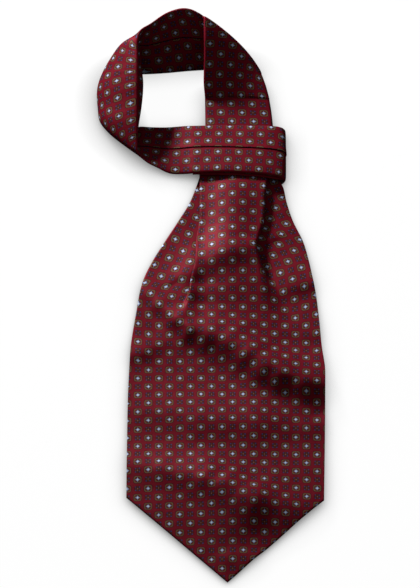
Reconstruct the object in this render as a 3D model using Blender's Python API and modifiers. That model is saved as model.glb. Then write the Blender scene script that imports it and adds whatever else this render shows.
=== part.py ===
"""A self-tie silk cravat laid out flat, with its neck band standing up as a loop behind the knot.

It holds the pieces that show: the pleated front blade, the hidden back blade, and the neck band as its
right, top and left stretches and as the wrap over the knot. +X is to the right, +Y runs from the
blade's tip to the loop and +Z is up. Sizes are in millimetres, with Y measured from the blade's tip
and X from the line of that tip, and the origin ends up below the centre of the whole.
"""

import math
from collections import namedtuple

import bmesh
import bpy
import numpy as np

MM = 0.001

# Cloth walls and the space left between neighbours
BLADE_WALL = 1.2
BAND_WALL = 1.8
BACK_WALL = 1.8
SEAM_GAP = 0.3
BAND_TRIM = 0.3

# The blade: a pointed panel whose upper end is pleated into the band
TIP_X = 1.0
CORNER_RISE = 1.0
SQUARE_ROWS_FROM = 150.0
NECK_Y = 424.0
FRONT_LEVEL = BACK_WALL + SEAM_GAP + BLADE_WALL / 2
BACK_INSET = 3.0
BACK_NECK_LEFT, BACK_NECK_RIGHT = -18.0, 41.2
BACK_NECK_FROM, BACK_NECK_Y = 374.0, 430.8

# Grid steps along each stretch of a blade row: wing, bend, hidden layer, bend, panel, and back out again
WING_STEPS, BEND_STEPS, LAYER_STEPS, PANEL_STEPS = 6, 4, 2, 8
BAND_STEPS_ACROSS = 8

Zone = namedtuple("Zone", "start end rows")
BLADE_ROWS = (
    Zone(0.0, 110.0, 8),
    Zone(110.0, 240.0, 9),
    Zone(240.0, 384.0, 14),
    Zone(384.0, NECK_Y, 3),
)

# The blade's two long edges
Edge = namedtuple("Edge", "y left right")
EDGES = (
    Edge(76.0, -77.4, 76.0),
    Edge(136.7, -77.0, 76.9),
    Edge(193.0, -75.9, 77.4),
    Edge(225.0, -74.2, 74.6),
    Edge(256.0, -70.2, 72.2),
    Edge(275.0, -67.2, 70.2),
    Edge(290.0, -63.6, 67.6),
    Edge(306.0, -57.2, 64.8),
    Edge(324.0, -48.0, 60.6),
    Edge(343.6, -37.6, 52.8),
    Edge(363.0, -28.0, 47.4),
    Edge(375.0, -24.0, 45.2),
    Edge(384.0, -21.4, 41.8),
    Edge(440.0, -19.0, 41.8),
)

# How far above its row's middle the cloth at each edge lies, because the wings turn in with the pleats
Rise = namedtuple("Rise", "y left right")
EDGE_RISE = (
    Rise(180.0, 0.0, 0.0),
    Rise(220.0, 2.0, 1.5),
    Rise(250.0, 5.0, 4.0),
    Rise(272.0, 8.5, 7.0),
    Rise(295.0, 12.0, 9.6),
    Rise(317.0, 13.3, 11.0),
    Rise(340.0, 12.0, 11.2),
    Rise(382.0, 8.0, 8.5),
    Rise(NECK_Y, 6.0, 6.0),
)

# A pleat at each level: the fold's place, the cloth hidden behind it, how far it is folded back, and
# the length of cloth in its lower and upper bends
Pleat = namedtuple("Pleat", "y fold depth turn lower_bend upper_bend")
LEFT_PLEAT = (
    Pleat(215.0, -34.0, 20.0, 0.0, 8.0, 8.0),
    Pleat(238.0, -33.0, 13.0, 11.0, 7.0, 7.0),
    Pleat(254.0, -30.5, 6.5, 40.0, 5.0, 5.0),
    Pleat(267.0, -28.6, 3.6, 100.0, 3.4, 3.4),
    Pleat(280.0, -27.6, 4.0, 180.0, 2.6, 2.6),
    Pleat(299.0, -24.3, 6.0, 180.0, 2.5, 2.5),
    Pleat(325.0, -23.0, 9.0, 180.0, 2.5, 2.5),
    Pleat(347.0, -20.2, 13.0, 180.0, 2.5, 2.5),
    Pleat(384.0, -20.4, 18.0, 180.0, 2.5, 2.5),
    Pleat(NECK_Y, -19.0, 18.0, 180.0, 2.5, 2.5),
)
RIGHT_PLEAT = (
    Pleat(215.0, 36.0, 20.0, 0.0, 8.0, 8.0),
    Pleat(236.0, 32.0, 18.0, 3.0, 8.0, 8.0),
    Pleat(258.0, 30.0, 12.0, 14.0, 7.0, 8.0),
    Pleat(279.0, 28.5, 7.0, 36.0, 5.5, 8.0),
    Pleat(298.0, 26.0, 4.5, 80.0, 4.0, 7.0),
    Pleat(314.0, 23.5, 4.0, 140.0, 3.0, 6.4),
    Pleat(325.0, 25.5, 5.5, 180.0, 2.5, 6.0),
    Pleat(340.0, 29.2, 9.5, 180.0, 2.5, 6.0),
    Pleat(361.0, 30.6, 14.0, 180.0, 2.5, 6.0),
    Pleat(384.0, 32.4, 18.0, 180.0, 2.5, 5.6),
    Pleat(NECK_Y, 33.0, 18.0, 180.0, 2.5, 3.4),
)

# How far the middle panel puffs up between its pleats
Puff = namedtuple("Puff", "y height")
PANEL_PUFF = (
    Puff(0.0, 0.0),
    Puff(230.0, 0.0),
    Puff(270.0, 1.0),
    Puff(316.0, 2.6),
    Puff(350.0, 2.0),
    Puff(380.0, 2.2),
    Puff(396.0, 0.8),
    Puff(NECK_Y, 0.4),
)

# The largest soft waves of the blade: crest lines, their height and their reach to each side
Wave = namedtuple("Wave", "x0 y0 x1 y1 height reach")
WAVES = (
    Wave(-67.0, 280.0, -24.0, 240.0, 3.4, 15.0),
    Wave(11.0, 227.0, 70.0, 196.0, 4.4, 16.0),
    Wave(-56.0, 171.0, 18.0, 158.0, 3.4, 18.0),
    Wave(-76.0, 124.0, -10.0, 97.0, 3.2, 15.0),
    Wave(20.0, 98.0, 42.0, 81.0, 2.2, 13.0),
    Wave(-2.0, 25.0, 18.0, 20.0, 1.2, 12.0),
    Wave(50.0, 300.0, 74.0, 262.0, 2.0, 14.0),
)
FLAT_FROM, FLAT_BY = 330.0, 372.0

# The neck band as rulings across it: its upper edge, middle and lower edge
Ruling = namedtuple("Ruling", "upper middle lower")
RIGHT_STRETCH = (
    Ruling((-16.1, 424.6, 7.6), (10.9, 424.6, 7.8), (37.8, 424.6, 7.0)),
    Ruling((-16.3, 445.0, 8.5), (9.6, 445.0, 8.6), (36.2, 445.0, 7.0)),
    Ruling((-16.5, 458.0, 9.4), (9.0, 458.5, 9.8), (34.5, 458.5, 7.0)),
    Ruling((-17.6, 470.0, 19.0), (8.0, 473.0, 14.5), (31.8, 471.0, 6.8)),
    Ruling((-17.2, 488.0, 30.0), (8.6, 487.0, 19.5), (30.0, 478.0, 6.5)),
    Ruling((-17.4, 504.0, 37.0), (9.6, 496.5, 21.5), (28.6, 482.5, 6.2)),
    Ruling((-17.5, 517.4, 40.0), (11.0, 503.6, 20.5), (28.0, 485.5, 6.0)),
)
LOOP = (
    Ruling((-18.6, 518.4, 37.6), (9.6, 504.4, 17.8), (27.0, 486.2, 3.4)),
    Ruling((-22.5, 521.0, 39.8), (-6.0, 508.0, 20.5), (8.0, 490.5, 3.0)),
    Ruling((-27.5, 522.9, 41.2), (-20.0, 508.5, 22.0), (-11.0, 493.2, 2.8)),
    Ruling((-33.7, 523.4, 42.0), (-32.0, 509.0, 23.0), (-28.0, 492.3, 2.6)),
    Ruling((-46.2, 519.2, 42.0), (-46.0, 506.0, 23.0), (-46.0, 490.3, 2.4)),
    Ruling((-59.5, 509.0, 41.0), (-60.5, 501.5, 23.5), (-60.0, 489.2, 2.2)),
    Ruling((-66.8, 503.0, 40.3), (-70.0, 499.6, 25.0), (-69.0, 489.0, 2.0)),
    Ruling((-69.4, 492.5, 39.1), (-82.0, 497.5, 26.5), (-80.0, 489.0, 1.8)),
    Ruling((-69.5, 483.6, 38.0), (-89.6, 488.8, 22.5), (-91.0, 483.6, 1.8)),
    Ruling((-69.5, 470.0, 36.0), (-95.2, 475.8, 18.0), (-97.0, 473.4, 1.8)),
    Ruling((-69.3, 458.0, 33.0), (-96.8, 463.0, 16.0), (-98.4, 462.0, 1.8)),
    Ruling((-69.3, 442.6, 28.0), (-95.4, 449.0, 14.0), (-98.4, 450.0, 1.8)),
    Ruling((-69.3, 427.0, 23.0), (-93.5, 434.5, 12.5), (-96.4, 440.0, 1.8)),
    Ruling((-69.3, 412.0, 17.0), (-87.4, 422.0, 9.0), (-88.0, 434.0, 1.8)),
    Ruling((-68.8, 404.0, 13.5), (-76.6, 414.4, 7.0), (-76.0, 433.4, 2.2)),
    Ruling((-62.0, 397.2, 9.0), (-66.0, 414.0, 5.5), (-67.7, 436.0, 3.0)),
    Ruling((-54.0, 393.0, 7.0), (-56.5, 413.0, 5.5), (-58.5, 435.0, 3.6)),
    Ruling((-43.8, 388.6, 5.2), (-44.5, 411.0, 6.2), (-46.0, 433.4, 5.6)),
    Ruling((-32.0, 387.0, 6.8), (-32.0, 410.0, 8.8), (-32.0, 432.2, 9.0)),
    Ruling((-21.0, 386.0, 9.8), (-20.5, 409.5, 11.0), (-20.0, 431.6, 10.4)),
    Ruling((4.0, 384.5, 13.0), (5.0, 408.5, 12.2), (5.0, 431.6, 10.6)),
    Ruling((26.6, 383.0, 12.6), (27.0, 407.5, 12.0), (28.0, 431.6, 10.3)),
    Ruling((38.0, 382.0, 11.2), (38.5, 407.0, 10.8), (39.0, 431.4, 9.8)),
    Ruling((44.2, 381.3, 9.2), (44.4, 406.5, 9.0), (44.2, 431.0, 8.4)),
    Ruling((46.3, 380.9, 5.8), (46.4, 406.0, 5.7), (46.2, 430.8, 5.4)),
    Ruling((44.9, 380.7, 2.5), (45.0, 406.0, 2.5), (44.8, 430.8, 2.4)),
    Ruling((42.2, 380.6, 0.95), (42.2, 406.0, 0.95), (42.2, 430.8, 0.95)),
)

# The stretches of the loop that are pieces of their own, by the rulings that they run between
Stretch = namedtuple("Stretch", "name first last steps")
STRETCHES = (
    Stretch("band_top", 0.0, 5.0, 11),
    Stretch("band_left", 5.0, 12.5, 18),
    Stretch("front_wrap", 12.5, 26.0, 29),
)
RIGHT_STRETCH_STEPS = 12

Silk = namedtuple("Silk", "red green blue roughness")
GOOD_SIDE = Silk(0.20, 0.012, 0.025, 0.45)
SEAM_SIDE = Silk(0.12, 0.008, 0.016, 0.5)


def column(table, name):
    return np.array([getattr(row, name) for row in table])


def smooth(places, values, at):
    """A smooth line through the values with no overshoot, read at some places and level past both ends."""
    places, values = np.asarray(places, float), np.asarray(values, float)
    slopes = np.gradient(values, places)
    secants = np.diff(values) / np.diff(places)
    slopes[1:-1][secants[1:] * secants[:-1] <= 0] = 0.0
    at = np.clip(at, places[0], places[-1])
    low = np.clip(np.searchsorted(places, at, side="right") - 1, 0, len(places) - 2)
    span = places[low + 1] - places[low]
    t = (at - places[low]) / span
    return (
        values[low] * (1 + 2 * t) * (1 - t) ** 2
        + values[low + 1] * t**2 * (3 - 2 * t)
        + span * (slopes[low] * t * (1 - t) ** 2 - slopes[low + 1] * t**2 * (1 - t))
    )


def ease(t):
    """From 0 to 1 with level ends."""
    t = np.clip(t, 0.0, 1.0)
    return t * t * (3 - 2 * t)


def wave_height(x, y):
    """The height of the soft waves at a place on the blade."""
    height = 0.0
    for wave in WAVES:
        run = np.array([wave.x1 - wave.x0, wave.y1 - wave.y0])
        t = np.clip(((x - wave.x0) * run[0] + (y - wave.y0) * run[1]) / (run @ run), 0.0, 1.0)
        away = np.hypot(x - wave.x0 - t * run[0], y - wave.y0 - t * run[1])
        height += wave.height * math.exp(-((away / wave.reach) ** 2))
    return height * (1 - ease((y - FLAT_FROM) / (FLAT_BY - FLAT_FROM)))


def pleat_line(table, y):
    """A pleat in section, from the wing that lies under it to the panel on top: steps in X and Z from
    the wing's end, which heads towards the panel, and the place of the panel's end."""
    fold, depth, turn, lower, upper = (
        float(smooth(column(table, "y"), column(table, name), y)) for name in Pleat._fields[1:]
    )
    turn = math.radians(min(turn, 180.0))
    stretches = (
        (lower, BEND_STEPS, 0.0, turn),
        (depth, LAYER_STEPS, turn, turn),
        (upper, BEND_STEPS, turn, 0.0),
    )
    line = [(0.0, 0.0)]
    for length, steps, start, end in stretches:
        for step in range(steps):
            heading = start + (end - start) * (step + 0.5) / steps
            x, z = line[-1]
            line.append((x + length / steps * math.cos(heading), z + length / steps * math.sin(heading)))
    return np.array(line), fold, upper / math.pi


def blade_row(y):
    """The points across the front blade at one level, from its left edge to its right edge."""
    left_line, left_fold, left_round = pleat_line(LEFT_PLEAT, y)
    right_line, right_fold, right_round = pleat_line(RIGHT_PLEAT, y)
    left_line[:, 0] += left_fold + left_round - left_line[-1, 0]
    right_line[:, 0] = right_fold - right_round - (right_line[:, 0] - right_line[-1, 0])
    right_line = right_line[::-1]

    slant = CORNER_RISE * (1 - ease(y / SQUARE_ROWS_FROM))
    rise_left = float(smooth(column(EDGE_RISE, "y"), column(EDGE_RISE, "left"), y))
    rise_right = float(smooth(column(EDGE_RISE, "y"), column(EDGE_RISE, "right"), y))
    levels = column(EDGES, "y")
    half = EDGES[0].right
    left = float(smooth(levels, column(EDGES, "left"), y + slant * half + rise_left))
    right = float(smooth(levels, column(EDGES, "right"), y + slant * half + rise_right))

    t = np.linspace(0, 1, WING_STEPS + 1)[:-1]
    left_wing = np.stack([left + (left_line[0, 0] - left) * t, 0 * t], axis=1)
    right_wing = np.stack([right + (right_line[-1, 0] - right) * t, 0 * t], axis=1)[::-1]
    t = np.linspace(0, 1, PANEL_STEPS + 1)[1:-1]
    start, end = left_line[-1], right_line[0]
    puff = float(smooth(column(PANEL_PUFF, "y"), column(PANEL_PUFF, "height"), y))
    panel = np.stack(
        [
            start[0] + (end[0] - start[0]) * t,
            start[1] + (end[1] - start[1]) * ease(t) + puff * np.sin(math.pi * t) ** 2,
        ],
        axis=1,
    )
    section = np.concatenate([left_wing, left_line, panel, right_line, right_wing])

    inner_left, inner_right = left_line[0, 0], right_line[-1, 0]
    row = []
    for place, (x, z) in enumerate(section):
        if place < WING_STEPS:
            rise = rise_left * (inner_left - x) / (inner_left - left)
        elif place >= len(section) - WING_STEPS:
            rise = rise_right * (x - inner_right) / (right - inner_right)
        else:
            rise = 0.0
        along = y + slant * abs(x - TIP_X) + rise
        row.append((x, along, FRONT_LEVEL + z + wave_height(x, along)))
    return np.array(row)


def front_blade():
    levels = [0.0]
    for zone in BLADE_ROWS:
        levels.extend(np.linspace(zone.start, zone.end, zone.rows + 1)[1:])
    return np.array([blade_row(y) for y in levels])


def band(rulings, first, last, steps):
    """Rows of points across the neck band, between two of its rulings."""
    numbers = np.arange(len(rulings))
    at = np.linspace(first, last, steps + 1)
    edges = []
    for part in range(3):
        points = np.array([ruling[part] for ruling in rulings], float)
        edges.append(np.stack([smooth(numbers, points[:, axis], at) for axis in range(3)], axis=1))
    upper, middle, lower = edges
    rows = []
    for t in np.linspace(0, 1, BAND_STEPS_ACROSS + 1):
        rows.append(upper * (1 - t) * (1 - 2 * t) + middle * 4 * t * (1 - t) + lower * t * (2 * t - 1))
    return np.array(rows).swapaxes(0, 1)


def trimmed(grid, start, end):
    """The same rows, with the first and the last one drawn in by these lengths along the band."""
    grid = grid.copy()
    for row, inner, length in ((0, 1, start), (-1, -2, end)):
        run = grid[inner] - grid[row]
        grid[row] += run * length / np.linalg.norm(run, axis=1, keepdims=True)
    return grid


def silk_material(name, silk):
    material = bpy.data.materials.new(name)
    material.use_nodes = True
    shader = material.node_tree.nodes["Principled BSDF"]
    shader.inputs["Base Color"].default_value = (silk.red, silk.green, silk.blue, 1)
    shader.inputs["Roughness"].default_value = silk.roughness
    shader.inputs["Metallic"].default_value = 0.0
    return material


def add_piece(name, data, silk, collection, parent):
    piece = bpy.data.objects.new(name, data)
    piece.parent = parent
    collection.objects.link(piece)
    data.materials.append(silk_material(f"{name}_silk", silk))
    return piece


def cloth_piece(name, grid, wall, silk, collection, parent):
    """A sheet through a grid of points, given the thickness of its cloth."""
    rows, columns = grid.shape[0] - 1, grid.shape[1] - 1
    mesh = bpy.data.meshes.new(name)
    sheet = bmesh.new()
    bmesh.ops.create_grid(sheet, x_segments=columns, y_segments=rows, size=1.0)
    for vert in sheet.verts:
        step = round((vert.co.x + 1) / 2 * columns)
        row = round((vert.co.y + 1) / 2 * rows)
        vert.co = grid[row, step] * MM
    sheet.to_mesh(mesh)
    sheet.free()
    mesh.shade_smooth()
    piece = add_piece(name, mesh, silk, collection, parent)
    thickness = piece.modifiers.new("Cloth", "SOLIDIFY")
    thickness.thickness = wall * MM
    thickness.offset = 0.0
    thickness.use_even_offset = True
    return piece


def back_outline():
    """The hidden blade's outline: the front blade's edges drawn in, and its plain neck under the knot."""
    levels = [edge.y for edge in EDGES if edge.y < BACK_NECK_FROM]
    left = [(edge.left + BACK_INSET, edge.y) for edge in EDGES if edge.y in levels]
    right = [(edge.right - BACK_INSET, edge.y) for edge in EDGES if edge.y in levels]
    tip = [(TIP_X, BACK_INSET * math.sqrt(2))]
    left_neck = [(BACK_NECK_LEFT, BACK_NECK_FROM), (BACK_NECK_LEFT, BACK_NECK_Y)]
    right_neck = [(BACK_NECK_RIGHT, BACK_NECK_Y), (BACK_NECK_RIGHT, BACK_NECK_FROM)]
    return tip + right + right_neck[::-1] + left_neck[::-1] + left[::-1]


def back_blade(collection, parent):
    curve = bpy.data.curves.new("blade_back", "CURVE")
    curve.dimensions = "2D"
    curve.fill_mode = "BOTH"
    curve.extrude = BACK_WALL / 2 * MM
    outline = back_outline()
    spline = curve.splines.new("POLY")
    spline.points.add(len(outline) - 1)
    for point, (x, y) in zip(spline.points, outline):
        point.co = (x * MM, y * MM, 0, 1)
    spline.use_cyclic_u = True
    piece = add_piece("blade_back", curve, GOOD_SIDE, collection, parent)
    piece.location.z = BACK_WALL / 2 * MM
    return piece


def centre(root, collection):
    """Moves the whole so that the origin is below the centre of its box."""
    bpy.context.view_layer.update()
    graph = bpy.context.evaluated_depsgraph_get()
    corners = []
    for piece in collection.objects:
        if piece == root:
            continue
        shown = piece.evaluated_get(graph)
        points = shown.to_mesh().vertices
        corners.extend(shown.matrix_world @ vert.co for vert in points)
        shown.to_mesh_clear()
    corners = np.array(corners)
    middle = (corners.min(axis=0) + corners.max(axis=0)) / 2
    root.location = (-middle[0], -middle[1], 0)


def main():
    for old in list(bpy.data.objects):
        bpy.data.objects.remove(old)
    collection = bpy.data.collections.new("silk cravat")
    bpy.context.scene.collection.children.link(collection)
    root = bpy.data.objects.new("cravat", None)
    collection.objects.link(root)

    back_blade(collection, root)
    cloth_piece("blade_front", front_blade(), BLADE_WALL, GOOD_SIDE, collection, root)
    right = band(RIGHT_STRETCH, 0, len(RIGHT_STRETCH) - 1, RIGHT_STRETCH_STEPS)
    cloth_piece("band_right", right, BAND_WALL, GOOD_SIDE, collection, root)
    for stretch in STRETCHES:
        rows = band(LOOP, stretch.first, stretch.last, stretch.steps)
        start = BAND_TRIM if stretch.first else 0.0
        end = BAND_TRIM if stretch.last < len(LOOP) - 1 else 0.0
        silk = GOOD_SIDE if stretch.name == "band_left" else SEAM_SIDE
        cloth_piece(stretch.name, trimmed(rows, start, end), BAND_WALL, silk, collection, root)
    centre(root, collection)


if __name__ == "__main__":
    main()
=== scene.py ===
import math
from collections import namedtuple

import bpy
import numpy as np
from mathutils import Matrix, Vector


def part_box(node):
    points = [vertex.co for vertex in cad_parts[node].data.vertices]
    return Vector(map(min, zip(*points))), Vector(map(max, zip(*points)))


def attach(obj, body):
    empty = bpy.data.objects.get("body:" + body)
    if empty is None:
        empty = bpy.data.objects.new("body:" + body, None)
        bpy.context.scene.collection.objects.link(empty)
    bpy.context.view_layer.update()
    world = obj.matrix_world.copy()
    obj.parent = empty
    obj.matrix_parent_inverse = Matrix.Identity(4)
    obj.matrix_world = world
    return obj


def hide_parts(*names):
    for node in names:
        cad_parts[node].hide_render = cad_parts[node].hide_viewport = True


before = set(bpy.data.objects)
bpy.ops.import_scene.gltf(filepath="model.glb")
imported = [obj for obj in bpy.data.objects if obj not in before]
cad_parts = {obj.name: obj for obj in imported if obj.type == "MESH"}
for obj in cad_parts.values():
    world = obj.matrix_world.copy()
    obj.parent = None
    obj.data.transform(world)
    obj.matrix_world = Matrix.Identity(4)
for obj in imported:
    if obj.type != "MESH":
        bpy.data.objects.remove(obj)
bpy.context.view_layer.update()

bl_info = {
    "name": "Silk Cravat",
    "version": (1, 0, 0),
    "blender": (4, 5, 0),
    "location": "View3D > Sidebar > Cravat",
    "description": "A self-tie foulard silk cravat laid out with its neck loop standing",
    "category": "Add Mesh",
}

MM = 0.001

# The tables below are in millimetres. Y runs up from the blade's tip, X across the blade from near it.
# The back blade lies this far inside the front one.
BACK_INSET = 3.0
LEFT_CORNER_X = -77.4
ORIGIN = Vector((
    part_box("blade_back")[0].x - (LEFT_CORNER_X + BACK_INSET) * MM,
    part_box("blade_front")[0].y,
    0.0,
))

# The front blade, from its tip to its pleated neck under the knot
TIP_X = 1.0
SQUARE_ROWS_FROM = 150.0
NECK_Y = 424.0
FRONT_LEVEL = 2.7
WING_STEPS, BEND_STEPS, LAYER_STEPS, PANEL_STEPS = 34, 7, 8, 44

Zone = namedtuple("Zone", "start end rows")
BLADE_ROWS = (
    Zone(0.0, 110.0, 54),
    Zone(110.0, 240.0, 62),
    Zone(240.0, 384.0, 84),
    Zone(384.0, NECK_Y, 10),
)

# The blade's two long edges
Edge = namedtuple("Edge", "y left right")
EDGES = (
    Edge(76.0, -77.4, 76.0),
    Edge(136.7, -77.0, 76.9),
    Edge(193.0, -75.9, 77.4),
    Edge(225.0, -74.2, 74.6),
    Edge(256.0, -70.2, 72.2),
    Edge(275.0, -67.2, 70.2),
    Edge(290.0, -63.6, 67.6),
    Edge(306.0, -57.2, 64.8),
    Edge(324.0, -48.0, 60.6),
    Edge(343.6, -37.6, 52.8),
    Edge(363.0, -28.0, 47.4),
    Edge(375.0, -24.0, 45.2),
    Edge(384.0, -21.4, 41.8),
    Edge(440.0, -19.0, 41.8),
)

# How far above its row's middle the cloth at each edge lies, because the wings turn in with the pleats
Rise = namedtuple("Rise", "y left right")
EDGE_RISE = (
    Rise(180.0, 0.0, 0.0),
    Rise(220.0, 2.0, 1.5),
    Rise(250.0, 5.0, 4.0),
    Rise(272.0, 8.5, 7.0),
    Rise(295.0, 12.0, 9.6),
    Rise(317.0, 13.3, 11.0),
    Rise(340.0, 12.0, 11.2),
    Rise(382.0, 8.0, 8.5),
    Rise(NECK_Y, 6.0, 6.0),
)

# A pleat at each level: the fold's place, the cloth hidden behind it, how far it is folded back in
# degrees, and the length of cloth in its lower and upper bends
Pleat = namedtuple("Pleat", "y fold depth turn lower_bend upper_bend")
LEFT_PLEAT = (
    Pleat(215.0, -34.0, 20.0, 0.0, 8.0, 8.0),
    Pleat(238.0, -32.0, 8.0, 2.0, 5.0, 5.0),
    Pleat(252.0, -30.4, 3.0, 9.0, 4.0, 4.0),
    Pleat(263.0, -29.2, 1.0, 42.0, 2.6, 2.6),
    Pleat(272.0, -28.4, 1.0, 110.0, 2.4, 2.4),
    Pleat(282.0, -27.4, 2.0, 180.0, 2.7, 2.7),
    Pleat(299.0, -24.3, 5.0, 180.0, 2.7, 2.7),
    Pleat(325.0, -23.0, 9.0, 180.0, 2.5, 2.5),
    Pleat(347.0, -20.2, 13.0, 180.0, 2.5, 2.5),
    Pleat(384.0, -20.4, 18.0, 180.0, 2.5, 2.5),
    Pleat(NECK_Y, -19.0, 18.0, 180.0, 2.5, 2.5),
)
RIGHT_PLEAT = (
    Pleat(215.0, 36.0, 20.0, 0.0, 8.0, 8.0),
    Pleat(236.0, 32.0, 18.0, 3.0, 8.0, 8.0),
    Pleat(258.0, 30.0, 9.0, 13.0, 6.0, 7.0),
    Pleat(279.0, 28.5, 5.0, 36.0, 4.5, 6.4),
    Pleat(298.0, 26.0, 3.2, 80.0, 3.2, 5.4),
    Pleat(314.0, 23.5, 3.2, 140.0, 2.6, 5.6),
    Pleat(325.0, 25.5, 5.5, 180.0, 2.5, 6.0),
    Pleat(340.0, 29.2, 9.5, 180.0, 2.5, 6.0),
    Pleat(361.0, 30.6, 14.0, 180.0, 2.5, 6.0),
    Pleat(384.0, 32.4, 18.0, 180.0, 2.5, 4.4),
    Pleat(NECK_Y, 33.0, 18.0, 180.0, 2.5, 3.4),
)

# How far the middle panel puffs up between its pleats
Puff = namedtuple("Puff", "y height")
PANEL_PUFF = (
    Puff(0.0, 0.0),
    Puff(230.0, 0.0),
    Puff(270.0, 0.8),
    Puff(300.0, 2.0),
    Puff(333.0, 3.4),
    Puff(350.0, 3.4),
    Puff(362.0, 2.8),
    Puff(372.0, 2.0),
    Puff(384.0, 0.9),
    Puff(NECK_Y, 0.3),
)

# How far the gathered neck stands up under the wrap, right of its left pleat
Lift = namedtuple("Lift", "y height")
NECK_LIFT = (
    Lift(335.0, 0.0),
    Lift(358.0, 1.4),
    Lift(374.0, 2.3),
    Lift(386.0, 2.4),
    Lift(400.0, 1.2),
    Lift(NECK_Y, 0.0),
)
LIFT_FROM_X, LIFT_BY_X = -22.0, 8.0

# Soft folds of the silk: the line of each crest, its height, and its reach up and down the blade
Crest = namedtuple("Crest", "x y height above below")
FOLDS = (
    (
        Crest(-72.0, 285.0, 1.4, 16.0, 8.0),
        Crest(-51.5, 262.5, 4.6, 16.0, 8.0),
        Crest(-38.0, 246.0, 6.6, 18.0, 9.0),
        Crest(-27.0, 236.0, 8.6, 23.0, 11.0),
        Crest(-13.0, 230.5, 9.8, 24.0, 14.0),
        Crest(3.0, 223.5, 10.8, 22.0, 16.0),
        Crest(18.0, 212.0, 12.2, 21.0, 16.0),
        Crest(32.0, 199.5, 12.4, 23.0, 16.0),
        Crest(43.0, 192.5, 12.0, 26.0, 15.0),
        Crest(60.0, 186.5, 10.2, 28.0, 15.0),
        Crest(80.0, 185.0, 8.6, 28.0, 16.0),
    ),
    (
        Crest(-33.0, 252.0, 1.2, 12.0, 9.0),
        Crest(-29.0, 272.0, 2.6, 15.0, 7.0),
        Crest(-26.0, 290.0, 1.8, 14.0, 7.0),
        Crest(-24.5, 306.0, 0.8, 12.0, 8.0),
    ),
    (
        Crest(-30.0, 291.0, 2.6, 16.0, 10.0),
        Crest(-12.0, 303.0, 4.0, 22.0, 12.0),
        Crest(14.9, 315.0, 3.0, 24.0, 12.0),
    ),
    (
        Crest(-82.0, 211.0, 1.6, 14.0, 9.0),
        Crest(-66.0, 217.0, 2.4, 14.0, 8.0),
        Crest(-50.0, 226.0, 1.0, 10.0, 8.0),
    ),
    (
        Crest(-75.0, 167.0, 1.0, 22.0, 15.0),
        Crest(-20.4, 153.0, 4.6, 28.0, 19.0),
        Crest(22.7, 149.0, 5.2, 28.0, 20.0),
        Crest(52.0, 156.0, 2.0, 18.0, 14.0),
    ),
    (
        Crest(-78.0, 111.0, 1.8, 13.0, 13.0),
        Crest(-50.0, 103.5, 4.2, 16.0, 14.0),
        Crest(-16.4, 94.5, 6.2, 20.0, 16.0),
        Crest(-2.0, 89.0, 4.0, 18.0, 17.0),
        Crest(10.0, 80.0, 2.0, 14.0, 16.0),
    ),
    (
        Crest(2.0, 84.0, 3.0, 12.0, 18.0),
        Crest(24.0, 73.0, 6.2, 16.0, 23.0),
        Crest(46.0, 66.0, 3.2, 14.0, 17.0),
        Crest(70.0, 64.0, 1.4, 14.0, 14.0),
    ),
    (
        Crest(6.0, 23.0, 1.4, 8.0, 12.0),
        Crest(24.0, 20.0, 1.6, 8.0, 12.0),
    ),
    (
        Crest(-60.0, 84.0, 2.8, 52.0, 40.0),
        Crest(0.0, 72.0, 5.8, 56.0, 42.0),
        Crest(60.0, 84.0, 3.6, 52.0, 42.0),
    ),
    (
        Crest(34.0, 273.0, 0.4, 14.0, 8.0),
        Crest(56.0, 281.0, 2.2, 22.0, 7.0),
        Crest(78.0, 286.0, 2.8, 24.0, 8.0),
    ),
    (
        Crest(40.0, 238.0, 0.6, 14.0, 9.0),
        Crest(60.0, 235.0, 1.6, 20.0, 10.0),
        Crest(80.0, 237.0, 1.6, 20.0, 10.0),
    ),
    (
        Crest(50.0, 143.0, 0.8, 9.0, 12.0),
        Crest(64.0, 145.0, 1.8, 9.0, 13.0),
        Crest(80.0, 149.0, 1.8, 9.0, 13.0),
    ),
)
# How softly one stretch of a crest passes into the next, how wide the top of a crest is rounded, and
# the levels between which the folds die out towards the neck
CREST_BLEND = 4.0
CREST_ROUNDING = 5.0
FLAT_FROM, FLAT_BY = 330.0, 372.0

# The back blade, which lies flat and narrows to its neck under the knot
BACK_TOP = 430.6
BACK_ROWS, BACK_STEPS_ACROSS = 110, 40
BACK_NECK_LEFT, BACK_NECK_RIGHT = -18.0, 41.0
BACK_NECK_FROM, BACK_NECK_OVER = 360.0, 14.0

# The neck band as rulings across it: its upper edge, middle and lower edge
Ruling = namedtuple("Ruling", "upper middle lower")
RIGHT_STRETCH = (
    Ruling((-16.1, 424.6, 7.6), (10.9, 424.6, 7.8), (37.8, 424.6, 7.0)),
    Ruling((-16.3, 445.0, 8.5), (9.6, 445.0, 8.6), (36.2, 445.0, 7.0)),
    Ruling((-16.5, 458.0, 9.4), (9.0, 458.5, 9.8), (34.5, 458.5, 7.0)),
    Ruling((-16.7, 460.4, 11.9), (8.9, 461.0, 11.4), (34.2, 460.8, 7.6)),
    Ruling((-17.6, 470.0, 19.4), (8.0, 473.0, 15.5), (31.8, 471.0, 8.6)),
    Ruling((-17.2, 488.0, 30.0), (8.6, 487.0, 19.5), (30.0, 478.0, 7.8)),
    Ruling((-17.4, 504.0, 37.0), (9.6, 496.5, 21.5), (28.6, 482.5, 6.2)),
    Ruling((-17.5, 517.4, 40.0), (11.0, 503.6, 20.5), (28.0, 485.5, 6.0)),
)
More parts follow.
